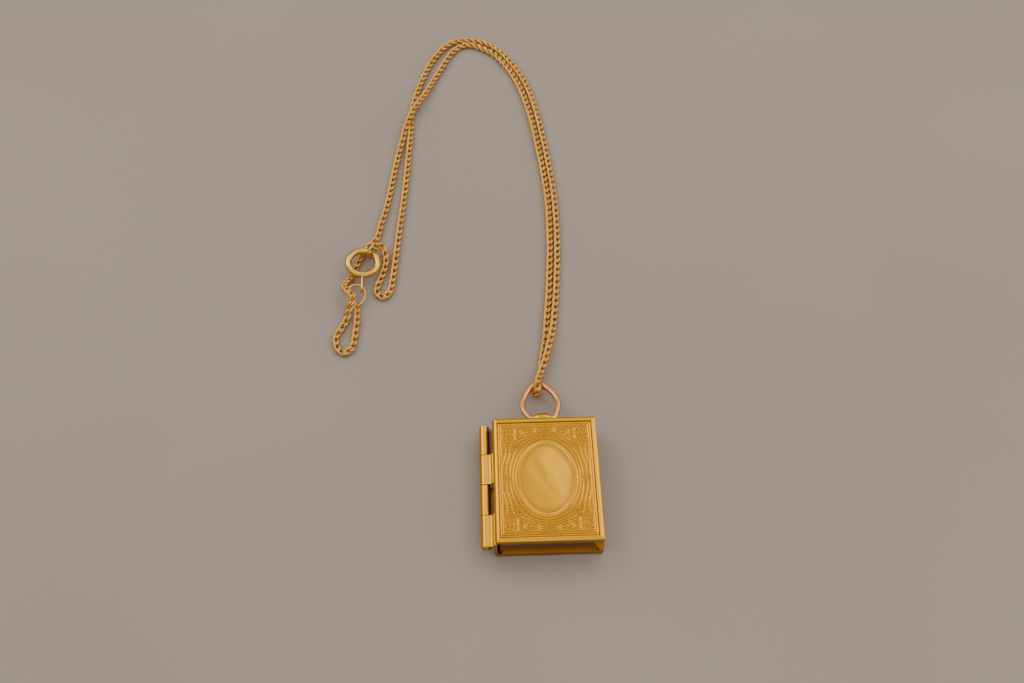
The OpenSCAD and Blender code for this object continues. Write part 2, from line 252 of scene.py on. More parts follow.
panels = [softbox("panel_left", (-0.32, 0.30, 0.34), size=0.30, power=0.6),
          softbox("panel_right", (0.40, 0.10, 0.30), size=0.50, power=0.7)]
print("panels:", [p.name for p in panels])

# %% [markdown]
# ## Metals
# Gilt brass looks like brass because of three things: a yellow mirror colour, a fine satin grain
# that spreads every reflection, and handling, which leaves a thin brown film in the hollows and
# polishes the crests. On the covers the same brown is painted shade, laid into their recesses and
# hinge gap and, at about half strength, on their side faces. The grain and the film are shared by
# all the metals, so they are built once as a node group with its own inputs, and each metal sets its
# colours and amounts.

# %% The worn metal group
def worn_metal_group():
    """Out of Object coordinates in metres: Film is a soft cloudy mask from 0 to 1, and Grain is a
    height of fine random pits, the same in every direction."""
    group = bpy.data.node_groups.new("worn_metal", "ShaderNodeTree")
    for label, start in (("Cloud Scale", 300.0), ("Grain Scale", 4000.0)):
        socket = group.interface.new_socket(label, in_out="INPUT", socket_type="NodeSocketFloat")
        socket.default_value = start
    for label in ("Film", "Grain"):
        group.interface.new_socket(label, in_out="OUTPUT", socket_type="NodeSocketFloat")
    ins = node_in(group, "NodeGroupInput", (-900, 0))
    outs = node_in(group, "NodeGroupOutput", (600, 0))
    place = node_in(group, "ShaderNodeTexCoord", (-900, 300))
    cloud = node_in(group, "ShaderNodeTexNoise", (-400, 300), Detail=4.0, Roughness=0.6)
    soft = ramp(group, [(0.3, 0.0), (0.7, 1.0)], (-150, 300))
    fine = node_in(group, "ShaderNodeTexNoise", (-200, -100), Detail=2.0, Roughness=0.55)
    wire(group, ((place, "Object"), (cloud, "Vector")), ((ins, "Cloud Scale"), (cloud, "Scale")),
         ((cloud, "Fac"), (soft, "Fac")), ((soft, "Color"), (outs, "Film")),
         ((place, "Object"), (fine, "Vector")), ((ins, "Grain Scale"), (fine, "Scale")),
         ((fine, "Fac"), (outs, "Grain")))
    return group


worn_metal = worn_metal_group()
print("group sockets:", [socket.name for socket in worn_metal.interface.items_tree])


# %% One recipe for every metal
def metal(name, bright, filmed, rough, film=0.5, cloud=300.0, grain=4000.0, pit=0.004, crest=None):
    """A metal whose colour and roughness go from bright to filmed as the film mask grows. Where a
    piece carries a crest attribute, its hollows hold up to this much film: patina in the embossed
    plate's hollows, painted shade in the covers' recesses. pit is the grain's depth in millimetres."""
    material = bpy.data.materials.new(name)
    material.use_nodes = True
    tree = material.node_tree
    shader = tree.nodes["Principled BSDF"]
    shader.inputs["Metallic"].default_value = 1.0
    worn = node_in(tree, "ShaderNodeGroup", (-1100, 0), node_tree=worn_metal)
    for label, value in (("Cloud Scale", cloud), ("Grain Scale", grain)):
        worn.inputs[label].default_value = value
    amount = node_in(tree, "ShaderNodeMath", (-850, 100), operation="MULTIPLY")
    amount.inputs[1].default_value = film
    wire(tree, ((worn, "Film"), (amount, 0)))
    mask = amount
    # Low crest values add the filmed colour: patina in the embossed plate's hollows, painted shade on the
    # covers.
    if crest is not None:
        ridge = node_in(tree, "ShaderNodeAttribute", (-1100, 350), attribute_name="crest")
        hollow = ramp(tree, [(0.0, crest), (0.55, 0.0)], (-850, 350))
        mask = node_in(tree, "ShaderNodeMath", (-600, 200), operation="ADD", use_clamp=True)
        wire(tree, ((ridge, "Fac"), (hollow, "Fac")), ((hollow, "Color"), (mask, 0)),
             ((amount, 0), (mask, 1)))
    tint = ramp(tree, [(0.0, bright), (1.0, filmed)], (-350, 200))
    gloss = ramp(tree, [(0.0, rough[0]), (1.0, rough[1])], (-350, -50))
    bump = node_in(tree, "ShaderNodeBump", (-350, -300), Strength=0.6)
    bump.inputs["Distance"].default_value = pit * MM
    wire(tree, ((mask, 0), (tint, "Fac")), ((mask, 0), (gloss, "Fac")),
         ((tint, "Color"), (shader, "Base Color")), ((gloss, "Color"), (shader, "Roughness")),
         ((worn, "Grain"), (bump, "Height")), ((bump, "Normal"), (shader, "Normal")))
    return material


gilt = (0.88, 0.42, 0.015)
# The brass's filmed brown is a light cloudy tarnish and, through the covers' crest attribute, painted
# shade in their recesses and on their side faces.
brass = metal("gilt_brass", gilt, (0.24, 0.135, 0.075), rough=(0.27, 0.46), film=0.14, crest=0.95)
plate_brass = metal("embossed_brass", gilt, (0.52, 0.24, 0.02), rough=(0.25, 0.44), film=0.25,
                    pit=0.009, crest=0.85)
rose_gold = metal("rose_gold", (0.98, 0.46, 0.15), (0.66, 0.28, 0.085), rough=(0.22, 0.34),
                  cloud=180.0)
chain_gold = metal("chain_gold", (0.86, 0.50, 0.14), (0.66, 0.37, 0.085), rough=(0.46, 0.6),
                   film=0.6, cloud=500.0)
clasp_gold = metal("clasp_gold", (0.90, 0.55, 0.12), (0.52, 0.28, 0.05), rough=(0.09, 0.2),
                   cloud=200.0)
print("metals:", [m.name for m in (brass, plate_brass, rose_gold, chain_gold, clasp_gold)])

# %% [markdown]
# ## Wire
# Rings, loops and links are all wire, which is a round section carried along a bent line. Hand-bent
# wire never has corners, so the few points that say where it runs are joined by a cubic spline, the
# curve that a thin springy strip would take between pins.

# %% A smooth line through pins
def spline(pins, closed=False, fine=40):
    """Through every pin runs a cubic whose slope and curvature both carry on into the next one. The
    second derivatives at the pins solve one linear system, with the distances between pins as
    weights, and each gap is then filled with `fine` points."""
    p = np.array(pins, float)
    if closed:
        p = np.vstack([p, p[:1]])
    h = np.linalg.norm(np.diff(p, axis=0), axis=1)
    slope = np.diff(p, axis=0) / h[:, None]
    system, right = np.zeros((len(p), len(p))), np.zeros_like(p)
    i = np.arange(1, len(p) - 1)
    system[i, i - 1], system[i, i], system[i, i + 1] = h[:-1], 2 * (h[:-1] + h[1:]), h[1:]
    right[1:-1] = 6 * (slope[1:] - slope[:-1])
    system[0, 0] = system[-1, -1] = 1
    if closed:
        system[0, -1] = -1
        system[-1, [0, 1, -2, -1]] = 2 * h[0], h[0], h[-1], 2 * h[-1]
        right[-1] = 6 * (slope[0] - slope[-1])
    bend = np.linalg.solve(system, right)
    u = np.linspace(0, 1, fine, endpoint=False)[None, :, None]
    sag = ((1 - u)**3 - 1 + u) * bend[:-1, None] + (u**3 - u) * bend[1:, None]
    sag = (h**2 / 6)[:, None, None] * sag
    line = ((1 - u) * p[:-1, None] + u * p[1:, None] + sag).reshape(-1, 3)
    return line if closed else np.vstack([line, p[-1:]])


def spaced(line, step, closed=False):
    """The same line with its points an equal distance of about one step apart."""
    run = np.vstack([line, line[:1]]) if closed else line
    s = np.concatenate([[0], np.cumsum(np.linalg.norm(np.diff(run, axis=0), axis=1))])
    at = np.linspace(0, s[-1], round(s[-1] / step) + 1)[:-1 if closed else None]
    return np.stack([np.interp(at, s, run[:, k]) for k in range(3)], axis=1)


# %% A section carried along a line
def sweep(line, radius, sides, ref, closed=False, square=2.0):
    """Around every point of the line lies a ring of `sides` points at that point's radius, square to
    the run. ref is a direction that the line never follows. square above 2 flattens the section
    on four sides, as pliers do. Open ends are closed by rings of no radius."""
    run = np.roll(line, -1, 0) - np.roll(line, 1, 0) if closed else np.gradient(line, axis=0)
    run = unit(run)
    side = unit(np.cross(ref, run))
    up = np.cross(run, side)
    angle = np.linspace(0, 2 * np.pi, sides, endpoint=False)
    grow = (np.abs(np.cos(angle))**square + np.abs(np.sin(angle))**square)**(-1 / square)
    a, b = (grow * np.cos(angle))[None, :, None], (grow * np.sin(angle))[None, :, None]
    radius = np.broadcast_to(radius, len(line))[:, None, None]
    rings = line[:, None] + radius * (a * side[:, None] + b * up[:, None])
    if not closed:
        ends = np.repeat(line[[0, -1], None], sides, axis=1)
        rings = np.concatenate([ends[:1], rings, ends[1:]])
    return grid(rings, wrap_rows=closed, wrap_cols=True)


# %% [markdown]
# ## The embossed plate
# The plate was pressed from thin sheet in a steel die, so it is one height above a flat ground at
# every point. That makes it a picture in height: the dome, the rope around it, the plain lines and
# the scrolls are each worked out over a grid and laid on top of each other by taking the higher one.
# The design is the same in all four corners, so one quarter is worked out and mirrored.

# %% Plate sizes
plate_low, plate_high = (np.array(c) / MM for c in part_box("front_plate"))
plate_half = (plate_high - plate_low)[:2] / 2 + 0.03
plate_under, book_top = plate_low[2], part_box("front_cover")[1][2] / MM
ground = plate_under + 0.3
oval = np.array([6.0, 8.1])
dome, dome_tall = np.array([4.7, 6.9]), 0.29
rope_strands, rope_in, rope_half, rope_tall = 72, 0.93, 0.38, 0.09
print("plate", np.round(2 * plate_half, 2), "mm, ground at", round(ground, 2))


def from_ellipse(x, y, half):
    """About how far a point lies outside an ellipse: its level minus one, over the level's slope."""
    level = np.hypot(x / half[0], y / half[1])
    return (level - 1) * level / np.maximum(np.hypot(x / half[0]**2, y / half[1]**2), 1e-6)


def line_at(distance, half_width):
    """A rounded ridge: 1 on the line, falling to 0 at half its width, like half a round wire."""
    return np.sqrt(np.clip(1 - (distance / half_width)**2, 0, 1))


# %% Strokes of the scrollwork
def curve(a, b, c, d, count=70):
    """A Bezier curve from a to d that leaves towards b and arrives from c."""
    t = np.linspace(0, 1, count)[:, None]
    a, b, c, d = (np.array(v, float) for v in (a, b, c, d))
    return (1 - t)**3 * a + 3 * t * (1 - t)**2 * b + 3 * t**2 * (1 - t) * c + t**3 * d


def scroll(eye, size, start, turns, count=90):
    """A spiral that winds from its outer end at the start angle into the eye, losing its size evenly."""
    t = np.linspace(0, 1, count)
    angle = np.radians(start + 360 * turns * t)
    radius = size * (1 - 0.85 * t)
    return np.array(eye) + np.stack([radius * np.cos(angle), radius * np.sin(angle)], axis=1)


def stroke(x, y, path, width, height):
    """The height that a raised stroke adds: rounded across, as the nearest point of its path sets it,
    and thinner towards both ends."""
    taper = width * (0.35 + 0.65 * np.sin(np.pi * np.linspace(0.02, 0.98, len(path)))**0.7)
    near = np.hypot(x[..., None] - path[:, 0], y[..., None] - path[:, 1])
    return height * np.sqrt(np.clip(1 - (near / taper)**2, 0, 1)).max(axis=-1)


# %% The quarter design
def bundle(inner, outer, count, width, height):
    """Strands that lie side by side: Bezier curves part of the way from an inner one to an outer one."""
    ways = np.linspace(0, 1, count)[:, None, None]
    corners = (1 - ways) * np.array(inner, float) + ways * np.array(outer, float)
    return [(curve(*four), width, height) for four in corners]


def quarter_design():
    """All strokes of one quarter, as (path, half width, height)."""
    leaves = bundle([(0.1, 8.45), (2.4, 8.45), (4.0, 7.5), (4.9, 6.4)],
                    [(0.1, 10.5), (1.5, 10.7), (2.4, 9.5), (4.4, 10.4)], count=5, width=0.19, height=0.17)
    leaves += bundle([(6.5, 0.2), (6.5, 2.2), (6.2, 3.8), (5.2, 5.9)],
                     [(7.7, 0.2), (8.6, 2.6), (6.5, 4.4), (7.4, 7.1)], count=3, width=0.2, height=0.15)
    barbs = bundle([(3.4, 7.9), (3.9, 8.2), (4.5, 8.0), (4.9, 7.4)],
                   [(3.0, 9.5), (3.5, 9.9), (4.3, 9.9), (4.9, 9.4)], count=5, width=0.14, height=0.17)
    barbs += bundle([(5.6, 5.3), (6.0, 5.6), (6.4, 5.4), (6.9, 4.7)],
                    [(6.1, 6.6), (6.6, 7.0), (7.4, 6.6), (7.9, 5.7)], count=4, width=0.14, height=0.16)
    vines = [(curve((8.0, 6.8), (8.2, 5.4), (7.8, 3.6), (8.15, 2.0)), 0.14, 0.14),
             (curve((4.9, 10.75), (3.6, 10.95), (2.4, 10.3), (0.6, 10.95)), 0.15, 0.14)]
    for eye, size, start, turns, width, height in (
            ((5.6, 6.9), 0.6, 200, 1.3, 0.16, 0.19), ((6.9, 3.0), 0.5, 100, -1.1, 0.14, 0.17),
            ((4.2, 9.2), 0.45, 10, 1.2, 0.14, 0.18), ((1.7, 9.6), 0.5, 200, -1.2, 0.14, 0.18),
            ((7.2, 1.0), 0.45, 250, 1.1, 0.14, 0.17), ((5.95, 8.25), 0.5, 30, 1.2, 0.15, 0.19),
            ((7.3, 8.3), 0.5, 140, -1.2, 0.15, 0.19), ((6.0, 9.65), 0.5, 300, -1.3, 0.15, 0.19),
            ((7.25, 9.6), 0.5, 220, 1.1, 0.15, 0.19), ((6.6, 8.95), 0.5, 80, 1.4, 0.15, 0.19)):
        vines.append((scroll(eye, size, start, turns), width, height))
    return leaves + barbs + vines


# %% Corner panels
def corner_panel(x, y, middle=(6.62, 8.95), half=1.3):
    """The frame round a corner's scrolls: a square line with swelling sides and a finer one inside."""
    dx, dy = np.abs(x - middle[0]), np.abs(y - middle[1])
    level = (dx**3.2 + dy**3.2)**(1 / 3.2) + 0.12 * np.cos(4 * np.arctan2(dy, dx))
    return np.maximum(0.14 * line_at(level - half, 0.15), 0.08 * line_at(level - half + 0.32, 0.1))


# %% The relief
def relief(x, y):
    """Height over the ground in one quarter: outside the oval the highest of the strokes, panels and
    frame lines, and inside it the dome, the rope and the plain lines."""
    outside = from_ellipse(x, y, oval)
    edge = np.minimum(plate_half[0] - x, plate_half[1] - y)
    height = np.zeros_like(x)
    for path, width, tall in quarter_design():
        height = np.maximum(height, stroke(x, y, path, width, tall))
    height = np.maximum(height, corner_panel(x, y))
    # The scrollwork stops short of the oval and of the plate's edge, and two plain lines run along
    # each of them.
    height *= np.clip(outside / 0.12 - 1.5, 0, 1) * np.clip((edge - 0.7) / 0.1, 0, 1)
    for distance, half, tall in ((edge - 0.18, 0.17, 0.12), (edge - 0.56, 0.13, 0.13),
                                 (outside, 0.2, 0.2), (outside + 0.47, 0.13, 0.13)):
        height = np.maximum(height, tall * line_at(distance, half))
    around = np.arctan2(x / oval[0], y / oval[1])
    rope = 0.6 + 0.4 * np.cos(rope_strands * around + 6 * outside)
    height = np.maximum(height, rope_tall * rope * line_at(outside + rope_in, rope_half))
    share = np.hypot(x / dome[0], y / dome[1])
    crown = dome_tall * np.clip(1 - share**2, 0, 1)**1.05
    return np.maximum(height * np.clip((share - 0.97) / 0.04, 0, 1), crown)


def dents(x, y, depth=0.03):
    """The worn dome isn't quite even: a few wide shallow dents, as a sum of slow waves that fades out
    towards its edge."""
    waves = (np.sin(1.25 * x + 0.35 * y + 0.6) + 0.8 * np.sin(0.9 * y - 0.7 * x + 2.2)
             + 0.5 * np.sin(1.9 * x + 1.1 * y))
    return depth * waves * np.clip(1 - np.hypot(x / dome[0], y / dome[1])**2, 0, 1)


# %% Press the plate
half_cells = (130, 172)
xq, yq = np.meshgrid(*(np.linspace(0, h, n) for h, n in zip(plate_half, half_cells)))
quarter = relief(xq, yq)
top_half = np.concatenate([quarter[:, :0:-1], quarter], axis=1)
height = np.concatenate([top_half[:0:-1], top_half])
gx, gy = np.meshgrid(np.linspace(-plate_half[0], plate_half[0], height.shape[1]),
                     np.linspace(-plate_half[1], plate_half[1], height.shape[0]))
height = np.minimum(height + dents(gx, gy), book_top - 0.01 - ground)
sheet = np.pad(np.stack([gx, gy, ground + height], axis=-1), ((1, 1), (1, 1), (0, 0)), mode="edge")
rim = np.ones(sheet.shape[:2], bool)
rim[1:-1, 1:-1] = False
sheet[rim, 2] = plate_under
outline = np.concatenate([sheet[0, :-1], sheet[:-1, -1], sheet[-1, :0:-1], sheet[:0:-1, 0]])
under = np.stack([outline, outline * [0.02, 0.02, 1]])
plate_parts = [grid(sheet), grid(under, wrap_cols=True), (under[1], [list(range(len(outline)))])]
front_plate = make_piece("front_plate_embossed", plate_parts, "front_plate", "front",
                         plate_brass, sharp=70)
polished_from = 0.16  # over the ground; from here up the crest is 1
set_crest(front_plate, np.clip((points_of(front_plate)[:, 2] - ground) / polished_from, 0, 1))
print("relief", round(float(height.max()), 2), "mm high")

# %% [markdown]
# ## The covers
# Each cover is a shallow pan folded from brass sheet: a board with a rounded rim, walls that stand
# in a little like the pages of a book, and a spine side rolled over in a curve whose cut end shows
# at the bottom. A ring of points around the board, repeated at every step of the rim's section,
# gives the board with true mitred corners, and flat cut-outs give the walls and the rolled spine.

# %% Cover sizes
# The board is the flat face with its edge. The walls stand in from it and end at the slit between
# the covers. The curl is the spine's rolled sheet, which leaves the board at a thinner flange, and
# the ledge is where the embossed plate rests in the rim.
half_w, half_h = np.array(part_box("front_cover")[1][:2]) / MM
board, corner_r = 1.5, 0.4
wall_in, wall_thick, slit_low, slit_high = 0.45, 0.3, 4.0, 4.2
side_gap, tab_in = 0.04, 0.34
curl_r, curl_wall, curl_out = 1.05, 0.3, 0.05
curl_x, curl_depth = -half_w + curl_out + curl_r, 1.7
flange, roll_r = 0.62, 0.85
rim_in, ledge_in, ledge_deep = 0.95, 1.25, 0.62
print("cover", 2 * half_w, "by", 2 * half_h, "mm, top", round(book_top, 2))


def board_ring(inset, spare=0.02):
    """Points around a rectangle with round corners, drawn in by an inset: arcs of nine points at the
    corners, and points along the sides, which on the short sides crowd together near the spine."""
    hx, hy, r = half_w - inset, half_h - inset, max(corner_r - inset, spare)
    across = np.concatenate([np.linspace(0.02, 1.5, 14), np.linspace(2.5, 2 * half_w - 1.5, 16)])
    across /= 2 * half_w
    up = np.linspace(0.03, 0.97, 24)
    arcs = [np.stack([np.cos(a), np.sin(a)], axis=1) * r for a in
            (np.linspace(0, np.pi / 2, 9) + k * np.pi / 2 for k in range(4))]
    corners = [arc + [sx * (hx - r), sy * (hy - r)]
               for arc, sx, sy in zip(arcs, (1, -1, -1, 1), (1, 1, -1, -1))]
    x_line = (hx - r) * (2 * across - 1)
    y_line = (hy - r) * (2 * up - 1)
    top = np.stack([x_line[::-1], np.full(len(across), hy)], axis=1)
    left = np.stack([np.full(len(up), -hx), y_line[::-1]], axis=1)
    bottom = np.stack([x_line, np.full(len(across), -hy)], axis=1)
    right = np.stack([np.full(len(up), hx), y_line], axis=1)
    return np.concatenate([corners[0], top, corners[1], left, corners[2], bottom, corners[3], right])


def board_shell(section, face_z, sign):
    """Rings of (inset, depth below the face) around the board. Beside the spine the edge is rolled off
    and the board thins to a flange, because there the sheet turns away from it and curls down."""
    rings = []
    for inset, depth in section:
        ring = board_ring(inset)
        spine = np.clip((curl_x + 0.1 - ring[:, 0]) / 0.2, 0, 1)
        rolled = roll_r - np.sqrt(roll_r**2 - np.clip(roll_r - half_w - ring[:, 0], 0, roll_r)**2)
        drop = depth + spine * (np.minimum(np.maximum(depth, rolled), flange) - depth)
        rings.append(np.column_stack([ring, face_z - sign * drop]))
    return np.array(rings)


# %% The rim's section
rim_section = [(ledge_in, ledge_deep), (rim_in, ledge_deep), (rim_in, 0.3), (0.93, 0.21), (0.87, 0.11),
               (0.79, 0.04), (0.7, 0.0), (0.6, 0.0), (0.45, 0.02), (0.3, 0.05), (0.17, 0.09),
               (0.07, 0.15), (0.01, 0.22), (0.0, 0.28), (0.02, 0.33), (0.09, 0.36), (0.1, 0.42),
               (0.06, 0.5), (0.03, 0.62), (0.03, board - 0.06), (0.08, board), (0.3, board),
               (ledge_in, board)]
back_section = [(half_w - 0.05, 0), (1.2, 0), (0.5, 0), (0.27, 0.03), (0.12, 0.1), (0.03, 0.2),
                (0.0, 0.32), (0.0, board - 0.06), (0.05, board), (0.3, board), (ledge_in, board),
                (ledge_in, 0.6), (half_w - 0.05, 0.6)]
print("section rows:", len(rim_section), "front,", len(back_section), "back")


# %% Flat cut-outs
def cut_out(outline, start, end, axis=1):
    """A flat shape with thickness: the outline at two places along an axis, joined by its edge."""
    outline = np.array(outline, float)
    columns = [k for k in range(3) if k != axis]
    points = np.zeros((2, len(outline), 3))
    points[:, :, columns] = outline
    points[0, :, axis], points[1, :, axis] = start, end
    flat, quads = grid(points, wrap_cols=True)
    n = len(outline)
    return flat, quads.tolist() + [list(range(n)), list(range(2 * n - 1, n - 1, -1))]


def box(x0, x1, y0, y1, z0, z1):
    """A plain bar between two corners."""
    return cut_out([(x0, z0), (x1, z0), (x1, z1), (x0, z1)], y0, y1)


def curl(face_z, sign, end_z):
    """The spine's sheet: a quarter turn under the board's flange, then straight on to its free edge."""
    turn = np.linspace(np.pi / 2, np.pi, 14)
    arc = np.stack([np.cos(turn), sign * np.sin(turn)], axis=1)
    heart = [curl_x, face_z - sign * curl_depth]
    outer, inner = heart + curl_r * arc, heart + (curl_r - curl_wall) * arc
    free = [(outer[-1, 0], end_z), (inner[-1, 0], end_z)]
    root = [(curl_x + 0.6, inner[0, 1]), (curl_x + 0.6, outer[0, 1])]
    section = np.concatenate([outer, free, inner[::-1], root])
    return cut_out(section, -half_h + side_gap, half_h - side_gap)


def walls(z0, z1, tab):
    """The page block: three inset walls, and at both ends of the fore edge a folded tab that is cut
    off slantwise along a rounded fold."""
    side, end = half_w - wall_in, half_h - wall_in
    parts = [box(curl_x - 0.3, side, -end, -end + wall_thick, z0, z1),
             box(curl_x - 0.3, side, end - wall_thick, end, z0, z1),
             box(side - wall_thick, side, -end, end, z0, z1)]
    fold_in, fold_r = 0.13, 0.12
    for s in (-1, 1):
        parts.append(cut_out(tab, s * (half_h - side_gap), s * (half_h - tab_in)))
        fold_y = s * (half_h - fold_in)
        fold_ends = [(tab[k][0], fold_y, tab[k][1]) for k in (0, -1)]
        parts.append(sweep(np.linspace(*fold_ends, 4), fold_r, 12, (0, 1, 0)))
    return parts


# %% [markdown]
# ## Hinge, pin and eye
# A knuckle is the edge of the sheet curled round the pin, so its end shows a spiral: a straight leaf
# that runs into a ring with a small seam. The front cover owns the second and fourth knuckles and
# the back cover the first and third, counted from the ring's end.

# %% Knuckles and turned parts
pin_low, pin_high = (np.array(c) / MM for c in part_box("hinge_pin"))
hinge_x, hinge_z = (pin_low[0] + pin_high[0]) / 2, (pin_low[2] + pin_high[2]) / 2
knuckle_r, pin_r, pin_clear = 0.925, (pin_high[0] - pin_low[0]) / 2, 0.04
hinge_len, knuckle_gap = 2 * half_h - 0.5, 0.12
knuckle_len = (hinge_len - 3 * knuckle_gap) / 4


def knuckle(number, side):
    """The curled sheet of one knuckle: out along the leaf, round the outside, back round the inside.
    side is 1 with the leaf on top, where it climbs over the back cover's wall to the front cover's,
    and -1 with the leaf straight below."""
    leaf = -half_w + 0.1 - hinge_x
    if side > 0:
        over = [(leaf, 1.45), (1.42, 1.4), (1.3, 1.22), (1.14, 1.0), (0.95, 0.9), (0.6, 0.86)]
        under = [(0.95, 0.6), (1.25, 0.72), (1.36, 0.95), (leaf, 1.13)]
    else:
        over, under = [(leaf, 0.74)], [(leaf, 0.42)]
    leaves_at, ends_at = 76 if side > 0 else 62, 372
    outer = np.radians(np.linspace(leaves_at, ends_at, 44))
    circle = np.stack([np.cos(outer), np.sin(outer)], axis=1)
    ring = np.concatenate([over, knuckle_r * circle, (pin_r + pin_clear) * circle[::-1], under])
    top = hinge_len / 2 - number * (knuckle_len + knuckle_gap)
    return cut_out(ring * [1, side] + [hinge_x, hinge_z], top - knuckle_len, top)


def turned(profile, middle, axis, sides=40, closed=True):
    """A profile of (place along the axis, radius) turned round an axis through a middle point."""
    angle = np.linspace(0, 2 * np.pi, sides, endpoint=False)
    profile = np.array(profile, float)
    along, radius = profile[:, 0, None] + 0 * angle, profile[:, 1, None]
    swap = {0: (0, 1, 2), 1: (1, 0, 2)}[axis]
    rings = np.stack([along, radius * np.cos(angle), radius * np.sin(angle)], axis=-1)[..., list(swap)]
    return grid(rings + middle, wrap_rows=closed, wrap_cols=True)


# %% The barrel eye
eye_y, eye_z, eye_half = half_h + 1.25, 3.4, 1.55
eye_end_r, eye_swell, bore_r = 0.78, 0.37, 0.675
u = np.linspace(-1, 1, 25)
olive = np.column_stack([eye_half * u, eye_end_r + eye_swell * (1 - u**2)])
bore = np.column_stack([eye_half * np.linspace(1, -1, 7), np.full(7, bore_r)])
barrel = turned(np.concatenate([olive, bore]), (0, eye_y, eye_z), axis=0)
neck = box(-1, 1, half_h - wall_in - 0.4, eye_y - 0.8, eye_z - 0.9, eye_z - 0.1)
print("eye at", round(float(eye_y), 2))


# %% Put the covers together
def soften(piece, width, segments=2):
    """Rounds the sharp edges of a piece a little, so that they catch the light as real ones do."""
    bevel = piece.modifiers.new("soft_edges", "BEVEL")
    bevel.width, bevel.segments, bevel.limit_method = width * MM, segments, "ANGLE"
    bevel.angle_limit, bevel.harden_normals, bevel.use_clamp_overlap = math.radians(50), False, True


tab_x, front_root, back_root = half_w - 0.05, book_top - board + 0.05, board - 0.05
front_tab = [(7.75, front_root), (tab_x, front_root), (tab_x, slit_high), (7.95, slit_high)]
back_tab = [(8.05, slit_low), (tab_x, slit_low), (tab_x, back_root), (8.95, back_root)]
front_shell = board_shell(rim_section, book_top, 1)
back_shell = board_shell(back_section, 0, -1)
front_parts = [grid(front_shell, wrap_rows=True, wrap_cols=True), curl(book_top, 1, slit_high),
               *walls(slit_high, book_top - board + 0.02, front_tab), knuckle(1, 1), knuckle(3, 1)]
caps = [(back_shell[k], [list(range(back_shell.shape[1]))]) for k in (0, -1)]
back_parts = [grid(back_shell, wrap_cols=True), *caps, curl(0, -1, slit_low),
              *walls(board - 0.02, slit_low, back_tab), knuckle(0, -1), knuckle(2, -1), barrel, neck]
front_cover = make_piece("front_cover_folded", front_parts, "front_cover", "front", brass)
back_cover = make_piece("back_cover_folded", back_parts, "back_cover", "back", brass)

# %% Painted shade in the covers' recesses and hinge gap, and about half as much on their side faces and the rim's inner step
side_shade_crest, edge_wide, sill_in, edge_round = 0.27, 0.12, 0.84, 0.04
for cover, dark_up_to in ((front_cover, 0.7), (back_cover, 0.82)):
    x, y, z = points_of(cover).T
    between = (z > board - 0.1) & (z < book_top - board + 0.1)
    # The page block's walls between the boards and the gap between the knuckles and the cover are painted
    # shade: crest 0, the full filmed brown.
    painted_shade = between & (np.abs(x) < half_w - wall_in + 0.05) & (np.abs(y) < half_h - wall_in + 0.05)
    painted_shade |= between & (x < -half_w + 0.3) & (x > hinge_x + 0.2) & (z < hinge_z + dark_up_to)
    # edge marks the boards' side faces and the rim's inner step beside the plate, which get about half as
    # much painted shade.
    edge = np.maximum(np.abs(x) - half_w, np.abs(y) - half_h) > -edge_wide
    from_face = np.minimum(z, book_top - z)
    edge &= (from_face > 0.3) & (from_face < board + 0.05)
    edge |= (z > book_top - 0.5) & (np.minimum(half_w - np.abs(x), half_h - np.abs(y)) > sill_in)
    set_crest(cover, np.where(painted_shade, 0.0, np.where(edge, side_shade_crest, 1.0)))
    soften(cover, edge_round)
    # The count printed is of the points in painted shade.
    print(cover.name, "points in film:", int(painted_shade.sum()))

# %% The hinge pin
pin_end = pin_high[1]
pin_profile = [(-pin_end, 0), (-pin_end, pin_r * 0.55), (-pin_end + 0.06, pin_r * 0.9),
               (-pin_end + 0.16, pin_r), (pin_end - 0.16, pin_r), (pin_end - 0.06, pin_r * 0.9),
               (pin_end, pin_r * 0.55), (pin_end, 0)]
pin_part = turned(pin_profile, (hinge_x, 0, hinge_z), axis=1, closed=False)
hinge_pin = make_piece("hinge_pin_turned", [pin_part], "hinge_pin", "back", brass)
set_crest(hinge_pin, np.ones(len(hinge_pin.data.vertices)))

# %% [markdown]
# ## The bail ring
# A thick soft wire was bent by hand through the eye into a rounded diamond, so its path is a set of
# listed pins, and its section is slightly square where the pliers held it.

# %% Bend the bail ring
bail_plan = [(-1.7, 13.55), (-2.25, 13.75), (-2.85, 14.5), (-3.4, 15.5), (-3.7, 16.7), (-3.65, 17.9),
             (-3.15, 19.3), (-2.5, 20.6), (-1.7, 21.65), (-0.7, 22.2), (0.3, 21.9), (1.2, 21.15),
             (2.1, 20.05), (2.8, 18.75), (3.05, 17.6), (2.95, 16.4), (2.65, 15.2), (2.35, 14.3),
             (2.1, 13.75), (1.7, 13.55), (0, 13.55)]
bail_fall, bail_wire = 1.4 / 8, 0.52
bail_pins = [(x, y, eye_z - bail_fall * (y - eye_y)) for x, y in bail_plan]
bail_line = spaced(spline(bail_pins, closed=True), 0.12, closed=True)
bail_part = sweep(bail_line, bail_wire, 24, (0, 0, 1), closed=True, square=3.2)
make_piece("bail_ring_bent", [bail_part], "bail_ring", "back", rose_gold)

# %% [markdown]
# ## The clasp
# A spring ring is a hollow tube bent to a circle with a gap. A thin bolt slides in it, pushed shut by
# a spring, and a small thumb lever on the bolt runs in a slot in the tube's outer side. The tube is
# an outer and an inner skin over the same grid of angles: cells are left out of both where the slot
# is cut, and the cut edge joins the two skins.

